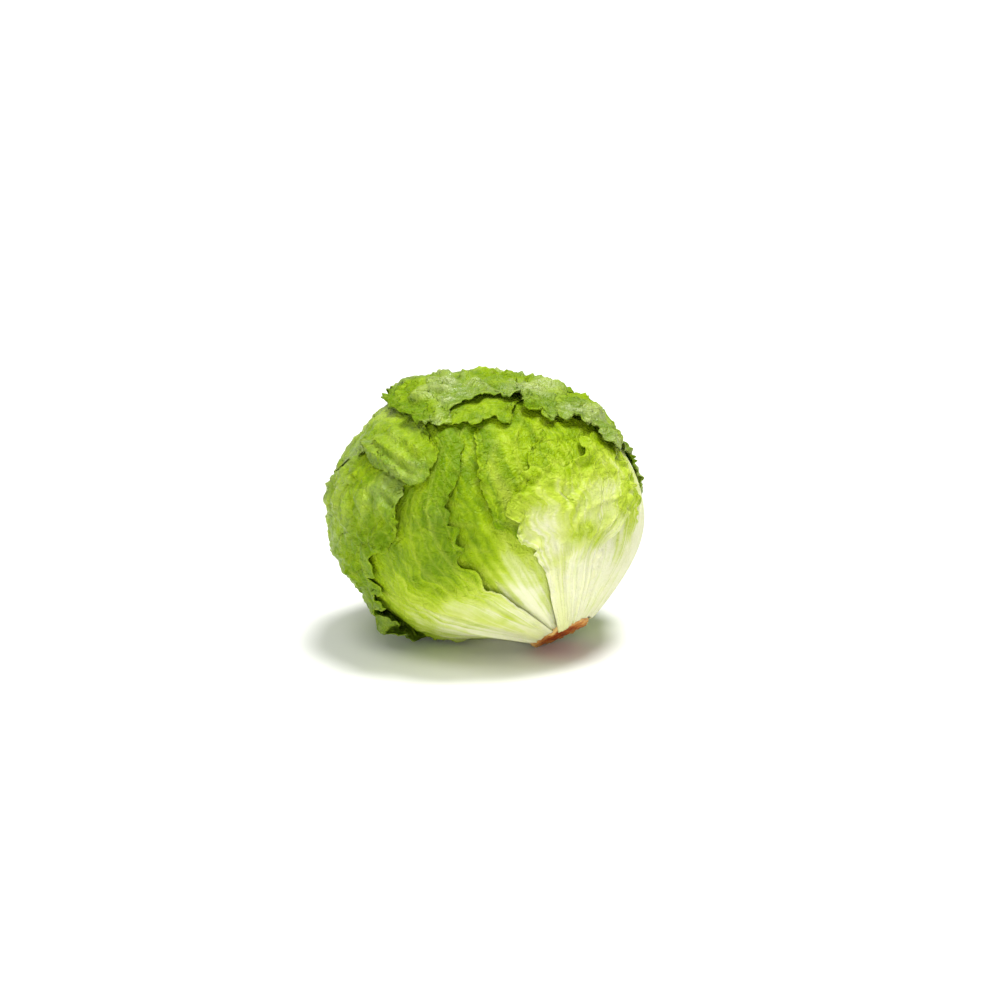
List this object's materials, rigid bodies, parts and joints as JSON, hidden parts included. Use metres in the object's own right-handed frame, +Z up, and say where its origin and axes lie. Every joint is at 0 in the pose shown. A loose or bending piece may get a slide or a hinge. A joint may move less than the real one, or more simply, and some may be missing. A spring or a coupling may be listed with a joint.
{
  "type": "iceberg lettuce",
  "caption": "Round head of crisp lettuce lying on its side with its browned cut stem low at the front, wrapped in overlapping ruffled leaves with pale ribs.",
  "frame": {"origin": "the point of the resting surface straight below the middle of the head, on the flat spot of the underside", "axes": "+Z up from the resting surface; the cut stem points down, to +X and towards -Y, where the front leaves show"},
  "size_m": [0.1594, 0.1591, 0.1345],
  "materials": {
    "pale_leaf": "moist pale leaf, satin",
    "green_leaf": "moist green leaf with a thin waxy bloom, satin",
    "heart_flesh": "moist pale leaf, satin",
    "cut_stem": "browned cut flesh, nearly dull, with a cream rim"
  },
  "bodies": {
    "root": {"heart": "heart_flesh", "stem": "cut_stem", "leaf_front": "pale_leaf", "leaf_right": "pale_leaf", "leaf_under": "pale_leaf", "leaf_back": "green_leaf", "leaf_left_front": "green_leaf", "leaf_centre": "green_leaf", "leaf_right_front": "pale_leaf", "leaf_centre_right": "pale_leaf", "leaf_left": "green_leaf", "leaf_shoulder": "green_leaf", "leaf_crown_inner": "green_leaf", "leaf_crown": "green_leaf"}
  },
  "joints": []
}
